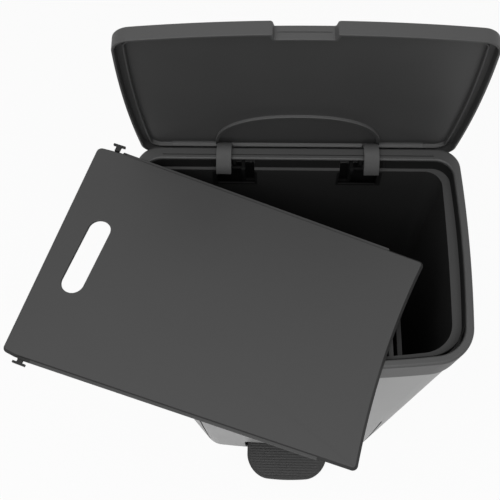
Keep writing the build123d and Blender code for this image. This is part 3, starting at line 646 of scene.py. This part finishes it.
foot_run, foot_rise = quarter_round(LID_FOOT)
inner_run, inner_rise = quarter_round(LID_INNER)
edge_run, edge_rise = quarter_round(LID_EDGE, count=7)
groove_middle = (LID_LOW + LID_TOP) / 2
groove_height = groove_middle + NOTCH_GROOVE_HEIGHT * np.array(NOTCH_GROOVE_SHARES)
tray_inset = np.concatenate([LID_WALL + inner_run, LID_WALL - foot_run[::-1], foot_run,
                             np.zeros(len(groove_height)), edge_run[::-1]])
tray_height = np.concatenate([LID_UNDER - inner_rise, LID_LOW + foot_rise[::-1], LID_LOW + foot_rise,
                              groove_height, LID_TOP - edge_rise[::-1]])
tray_groove = np.zeros(len(tray_inset))
first_groove = len(inner_run) + 2 * len(foot_run)
tray_groove[first_groove + 1:first_groove + 3] = NOTCH_GROOVE
print("lid section", len(tray_inset), "points")

# %% Lid shell
NOTCH_HALF, NOTCH_DEPTH, NOTCH_RAMP = 0.029, 0.0085, 0.0012
LID_FIELD_SHARES = (0.2, 0.5, 0.88)

side_reach = np.abs(lid_loop[:, 0])[None]
at_front = (lid_loop[:, 1] < 0)[None]
notch_wall = NOTCH_HALF + tray_inset[:, None]
notch = at_front * (1 - soft_step(side_reach, notch_wall - NOTCH_RAMP, notch_wall + NOTCH_RAMP))
groove = at_front * (1 - soft_step(side_reach, NOTCH_GROOVE_HALF - NOTCH_RAMP, NOTCH_GROOVE_HALF))
inset = tray_inset[:, None] + NOTCH_DEPTH * notch + tray_groove[:, None] * groove
tray_rows = lid_loop[None] - lid_normal[None] * inset[..., None]
lid_middle = np.array([0, (LID_BACK + LID_FRONT) / 2])
wall_line = lid_loop - lid_normal * (LID_WALL + LID_INNER)
field = np.array(LID_FIELD_SHARES)[:, None, None]
field_rows = lid_middle + field * (wall_line - lid_middle)
lid_rows = np.concatenate([field_rows, tray_rows, field_rows[::-1]])
lid_z = np.concatenate([[LID_UNDER] * len(field), tray_height, [LID_TOP] * len(field)])[:, None]
# The skirt and the soft outer edge carry a painted highlight, paler as the skirt that faces up
lid_skirt_highlight = np.concatenate([[0] * len(field), tray_inset < LID_EDGE, [0] * len(field)])[:, None]
lid_grid = lid_rows.shape[:2]
lid_points = swung_open(lid_rows[..., 0], lid_rows[..., 1], np.broadcast_to(lid_z, lid_grid))
lid_faces = grid_faces(*lid_grid, closed_columns=True)
lid_tray = make_piece("lid_tray", lid_points, lid_faces, end_caps(*lid_grid),
                      np.broadcast_to(lid_skirt_highlight, lid_grid), "lid", "lid_black")
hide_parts("lid_shell")

# %% [markdown]
# A thin rib runs round the inside of the lid and stops short of the hinge band at both ends. A
# bevelled curve could draw it. A rounded section carried along the lid's own outline, moved
# inwards, stays even with the skirt all the way round.

# %% Lid rib
RIB_INSET, RIB_WIDTH, RIB_HEIGHT, RIB_EDGE = 0.010, 0.002, 0.005, 0.0008
RIB_GAP_HALF = 0.150
STRIP_ROOT_SHARE = 0.125
RIB_LEAST_HIGHLIGHT, RIB_PALE_FROM, RIB_PALE_TO = 0.3, HINGE_Y - 0.004, HINGE_Y + 0.002


def stood_on_lid(near, far, low, edge):
    """Section of a strip on the lid's underside: round at its free end, nearly sharp at its root."""
    corners = [(near, low), (far, low), (far, LID_UNDER), (near, LID_UNDER)]
    root = edge * STRIP_ROOT_SHARE
    return rounded_loop(corners, [edge, edge, root, root], arc_points=5)


rib_section = stood_on_lid(RIB_INSET, RIB_INSET + RIB_WIDTH, LID_UNDER - RIB_HEIGHT, RIB_EDGE)
rib_gap = (lid_loop[:, 1] > HINGE_Y) & (np.abs(lid_loop[:, 0]) < RIB_GAP_HALF)
rib_path = round_the_gap(lid_loop, rib_gap)
rib_line = lid_loop[rib_path]
# A painted highlight along the whole rib, strongest on its back run next to the hinge band
rib_pale = soft_step(rib_line[:, 1:], RIB_PALE_FROM, RIB_PALE_TO)
rib_highlight = RIB_LEAST_HIGHLIGHT + (1 - RIB_LEAST_HIGHLIGHT) * rib_pale
carried_strip("lid_rib", rib_line, lid_normal[rib_path], rib_section, swung_open, rib_highlight,
              "lid", "arm_black")

# %% [markdown]
# ## The hinge band and the arch
# Between the arms the lid carries an upright band, and above it an arched plate with a raised bead.
# Both catch the light from above as thin pale lines, and their upper sides also carry a painted
# highlight. Bevels on the CAD's plain forms would change its mesh. The band runs into the lid in a
# hollow curve and the bead has round edges, so each is a section carried along its line over the
# CAD's plain one.

# %% Hinge band
BAND_FRONT, BAND_WIDTH, BAND_HOLLOW, BAND_TIP, BAND_LAP = 0.1225, 0.0020, 0.0050, 0.0056, 0.001
HOLLOW_POINTS = 8

hollow_turn = np.linspace(0, np.pi / 2, HOLLOW_POINTS)
hollow_y = BAND_FRONT - BAND_HOLLOW * (1 - np.sin(hollow_turn))
hollow_z = BAND_TIP + (LID_UNDER - BAND_TIP) * np.cos(hollow_turn)
band_back = BAND_FRONT + BAND_WIDTH
band_section = np.stack([np.concatenate([hollow_y, [band_back, band_back]]),
                         np.concatenate([hollow_z, [BAND_TIP, LID_UNDER]])], axis=1)
# The painted highlight grows over the first half of the hollow and stays full up to the band's tip
band_highlight = np.concatenate([np.linspace(0, 2, len(hollow_turn)).clip(0, 1), [0, 0]])
band_half = RIB_GAP_HALF + BAND_LAP
band_line = np.array([[-band_half, 0.0], [band_half, 0.0]])
band_normal = np.array([[0.0, -1.0], [0.0, -1.0]])
carried_strip("hinge_band", band_line, band_normal, band_section, swung_open, band_highlight,
              "lid", "arm_black")

# %% Arch bead
BEAD_HALF_WIDTH, BEAD_DEPTH, BEAD_POWER = 0.098, 0.076, 2 / 2.3
BEAD_OUT, BEAD_IN, BEAD_LOW, BEAD_EDGE = -0.00025, 0.00385, 0.00735, 0.0008
BEAD_HIGHLIGHT, BEAD_POINTS = 0.7, 121

# The arch is half a superellipse: sine and cosine raised to the same power
sweep = np.linspace(np.pi, 0, BEAD_POINTS)
bead_line = np.stack([BEAD_HALF_WIDTH * np.sign(np.cos(sweep)) * np.abs(np.cos(sweep)) ** BEAD_POWER,
                      BAND_FRONT - BEAD_DEPTH * np.abs(np.sin(sweep)) ** BEAD_POWER], axis=1)
bead_along = np.gradient(bead_line, axis=0)
bead_normal = np.stack([bead_along[:, 1], -bead_along[:, 0]], axis=1)
bead_normal /= np.linalg.norm(bead_along, axis=1)[:, None]
bead_section = stood_on_lid(BEAD_OUT, BEAD_IN, BEAD_LOW, BEAD_EDGE)
# Painted highlight on the bead's outer side, which faces up when the lid stands open
bead_highlight = BEAD_HIGHLIGHT * (bead_section[:, 0] < BEAD_OUT + BEAD_EDGE / 2)
carried_strip("arch_bead", bead_line, bead_normal, bead_section, swung_open, bead_highlight,
              "lid", "arm_black")

# %% [markdown]
# ## The goose-neck arms
# Each arm is a bent strap that goes over the rim and down into the mouth, with a painted highlight
# over the bend. A curve with a bevel could draw its face. Here a thin skin lies on the CAD's arm: a
# shallow rounded section carried along an arc about the hinge, because its points can carry the
# painted highlight.

# %% Arm faces
ARM_INNER, ARM_OUTER, ARM_RADIUS, ARM_SKIN = 0.0779, 0.0956, 0.0225, 0.0003
ARM_START, ARM_END = math.radians(35.0), math.radians(160.0)
ARM_PALE, ARM_DARK = math.radians(85.0), math.radians(125.0)
ARM_POINTS = 48


def about_hinge(x, angle, radius):
    """Polar points about the hinge axis: angle from the back towards the top."""
    return np.stack([x, HINGE_Y + radius * np.cos(angle), HINGE_Z + radius * np.sin(angle)], axis=-1)


arm_angle = np.linspace(ARM_START, ARM_END, ARM_POINTS)[:, None]
arm_low, arm_high = ARM_RADIUS - ARM_SKIN, ARM_RADIUS + ARM_SKIN
arm_section = rounded_loop([(ARM_INNER, arm_low), (ARM_OUTER, arm_low),
                            (ARM_OUTER, arm_high), (ARM_INNER, arm_high)],
                           [ARM_SKIN / 4, ARM_SKIN / 4, ARM_SKIN, ARM_SKIN], arc_points=5)
arm_grid = (len(arm_angle), len(arm_section))
arm_faces = grid_faces(*arm_grid, closed_columns=True)
# Painted highlight over the top of each arm's bend, fading out towards its lower end
arm_highlight = np.broadcast_to(1 - soft_step(arm_angle, ARM_PALE, ARM_DARK), arm_grid)
for arm_name, arm_side in (("arm_face_left", -1), ("arm_face_right", 1)):
    arm_x = np.broadcast_to(arm_side * arm_section[None, :, 0], arm_grid)
    arm_points = about_hinge(arm_x, np.broadcast_to(arm_angle, arm_grid), arm_section[None, :, 1])
    make_piece(arm_name, arm_points, arm_faces, end_caps(*arm_grid), arm_highlight, "lid", "arm_black")

# %% [markdown]
# ## The step inside the rim
# Below the rim's inner edge the wall drops to the liner's flange and lies in shade, darker than the
# rim. The shade is painted: it could be a box of another tone, but it bends round the corners. So it
# is a thin dark strip carried round the step's outline, open where the arms swing down.

# %% Step wall
STEP_HALF_BACK, STEP_HALF_FRONT, STEP_BACK, STEP_FRONT = 0.180, 0.1774, 0.116, -0.1193
STEP_CORNER_BACK, STEP_CORNER_FRONT = 0.020, 0.036
STEP_IN, STEP_THICKNESS, STEP_LOW, STEP_HIGH = 0.0005, 0.0004, -0.0183, -0.0022
POCKET_INNER, POCKET_OUTER, POCKET_FRONT = 0.0505, 0.1015, 0.1
STEP_SPACING, STEP_ARC_POINTS = 0.003, 16

step_corners = [(STEP_HALF_BACK, STEP_BACK), (-STEP_HALF_BACK, STEP_BACK),
                (-STEP_HALF_FRONT, STEP_FRONT), (STEP_HALF_FRONT, STEP_FRONT)]
step_radii = [STEP_CORNER_BACK, STEP_CORNER_BACK, STEP_CORNER_FRONT, STEP_CORNER_FRONT]
step_arcs = rounded_loop(step_corners, step_radii, arc_points=STEP_ARC_POINTS)
step_loop = bowed(even_steps(step_arcs, STEP_SPACING), STEP_BACK, STEP_FRONT, STEP_HALF_FRONT)
step_section = np.array([(STEP_IN, STEP_LOW), (STEP_IN + STEP_THICKNESS, STEP_LOW),
                         (STEP_IN + STEP_THICKNESS, STEP_HIGH), (STEP_IN, STEP_HIGH)])


def on_the_rim(x, y, z):
    """Points whose height is measured from the rim's top."""
    return np.stack([x, y, z + RIM_Z], axis=-1)


step_gap = (step_loop[:, 1] > POCKET_FRONT) & (np.abs(step_loop[:, 0]) < POCKET_OUTER)
step_path = round_the_gap(step_loop, step_gap)
# A thin near-black strip just inside the step wall: painted shade
carried_strip("step_shade_round", step_loop[step_path], loop_normals(step_loop)[step_path], step_section,
              on_the_rim, 0.0, "bin", "bracket_black")
back_line = np.array([[POCKET_INNER, STEP_BACK], [-POCKET_INNER, STEP_BACK]])
back_normal = np.array([[0.0, 1.0], [0.0, 1.0]])
carried_strip("step_shade_back", back_line, back_normal, step_section,
              on_the_rim, 0.0, "bin", "bracket_black")

# %% [markdown]
# ## The pedal's tread
# The tread is a thick moulded pad with round front corners and fine ribs across. Ribs could come
# from a bump map, but they catch the light along their edges, so they are in the surface: a height
# over the plan that drops in every groove and rounds off towards the rim.

# %% The tread's height over its plan
PAD_HALF, PAD_DEPTH, PAD_BOW, PAD_THICKNESS = 0.06875, 0.070, 0.007, 0.010
PAD_REAR, PAD_TOP = -0.080, 0.0455
PAD_FRONT_CORNER, PAD_REAR_CORNER, PAD_EDGE = 0.036, 0.006, 0.002
TREAD_PITCH, TREAD_WIDTH, TREAD_DEPTH, TREAD_MARGIN = 0.0045, 0.0016, 0.0002, 0.006
TREAD_FADE, TREAD_BANK_FOOT, TREAD_BANK_TOP = 0.001, 0.3, 0.6
PAD_COLUMNS, PAD_ROWS = 91, 230


def corner_drop(x, half, radius):
    """How far a round corner falls back from its straight edge at a distance from the middle."""
    past = np.clip(np.abs(x) - (half - radius), 0, radius)
    return radius - np.sqrt(radius ** 2 - past ** 2)


across = PAD_HALF * np.sin(np.linspace(-1, 1, PAD_COLUMNS) * np.pi / 2)
forward = 0.5 - 0.5 * np.cos(np.linspace(0, 1, PAD_ROWS) * np.pi)
rear_line = PAD_REAR - corner_drop(across, PAD_HALF, PAD_REAR_CORNER)
front_line = (PAD_REAR - PAD_DEPTH + PAD_BOW * (across / PAD_HALF) ** 2
              + corner_drop(across, PAD_HALF, PAD_FRONT_CORNER))
pad_x = np.broadcast_to(across, (len(forward), len(across)))
pad_y = rear_line + forward[:, None] * (front_line - rear_line)
end_distance = np.minimum(rear_line - pad_y, pad_y - front_line)
rim_distance = np.minimum(end_distance, PAD_HALF - np.abs(pad_x))
rim_drop = PAD_EDGE - np.sqrt(PAD_EDGE ** 2 - np.clip(PAD_EDGE - rim_distance, 0, PAD_EDGE) ** 2)
from_groove = np.abs((PAD_REAR - TREAD_MARGIN - pad_y) % TREAD_PITCH - TREAD_PITCH / 2)
in_groove = 1 - soft_step(from_groove, TREAD_WIDTH * TREAD_BANK_FOOT, TREAD_WIDTH * TREAD_BANK_TOP)
in_field = soft_step(rim_distance, TREAD_MARGIN - TREAD_FADE, TREAD_MARGIN)
pad_z = PAD_TOP - rim_drop - TREAD_DEPTH * in_groove * in_field
print("tread grid", pad_z.shape)

# %% Pedal tread
PIVOT_Y, PIVOT_Z = joints["pedal_hinge"]["pos_m"][1:]
LEVER_SLOPE = math.radians(7.6)


def trodden(x, y, z):
    """Points of the level pedal turned about its pin, so that the tread's front is down."""
    dy, dz = y - PIVOT_Y, z - PIVOT_Z
    return np.stack([x, PIVOT_Y + dy * math.cos(LEVER_SLOPE) - dz * math.sin(LEVER_SLOPE),
                     PIVOT_Z + dy * math.sin(LEVER_SLOPE) + dz * math.cos(LEVER_SLOPE)], axis=-1)


number = np.arange(pad_x.size).reshape(pad_x.shape)
border = np.concatenate([number[0, :-1], number[:-1, -1], number[-1, :0:-1], number[:0:-1, 0]])
top_points = trodden(pad_x, pad_y, pad_z).reshape(-1, 3)
low_points = trodden(pad_x.ravel()[border], pad_y.ravel()[border], PAD_TOP - PAD_THICKNESS)
low_ring = pad_x.size + np.arange(len(border))
wall = np.stack([border, np.roll(border, -1), np.roll(low_ring, -1), low_ring], axis=1)
pad_faces = np.concatenate([grid_faces(*pad_x.shape), wall])
pad_wear = np.concatenate([(in_field * (1 - in_groove)).ravel(), np.zeros(len(border))])
pedal_tread = make_piece("pedal_tread", np.concatenate([top_points, low_points]), pad_faces, [low_ring],
                         pad_wear, "pedal", "pedal_black")
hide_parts("pedal_pad")
